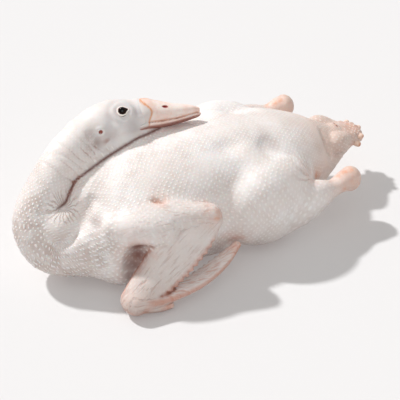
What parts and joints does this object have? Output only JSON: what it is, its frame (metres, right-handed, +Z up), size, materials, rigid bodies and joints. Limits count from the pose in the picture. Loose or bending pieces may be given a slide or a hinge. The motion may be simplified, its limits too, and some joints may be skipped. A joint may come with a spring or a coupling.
{
  "type": "whole raw duck",
  "caption": "Plucked whole raw duck lying on its breast, head and neck folded back onto its back, wings folded at its sides, feet cut off at the hocks.",
  "frame": {"origin": "middle of the flat spot under the belly that the duck rests on", "axes": "+X along the body from the breast to the tail, -Y to the duck's left side, +Z up"},
  "size_m": [0.347, 0.193, 0.1248],
  "materials": {
    "skin": "moist pale plucked skin with feather follicles",
    "eye": "wet glossy black"
  },
  "bodies": {
    "root": {"duck": "skin", "eye_left": "eye", "eye_right": "eye"}
  },
  "joints": []
}
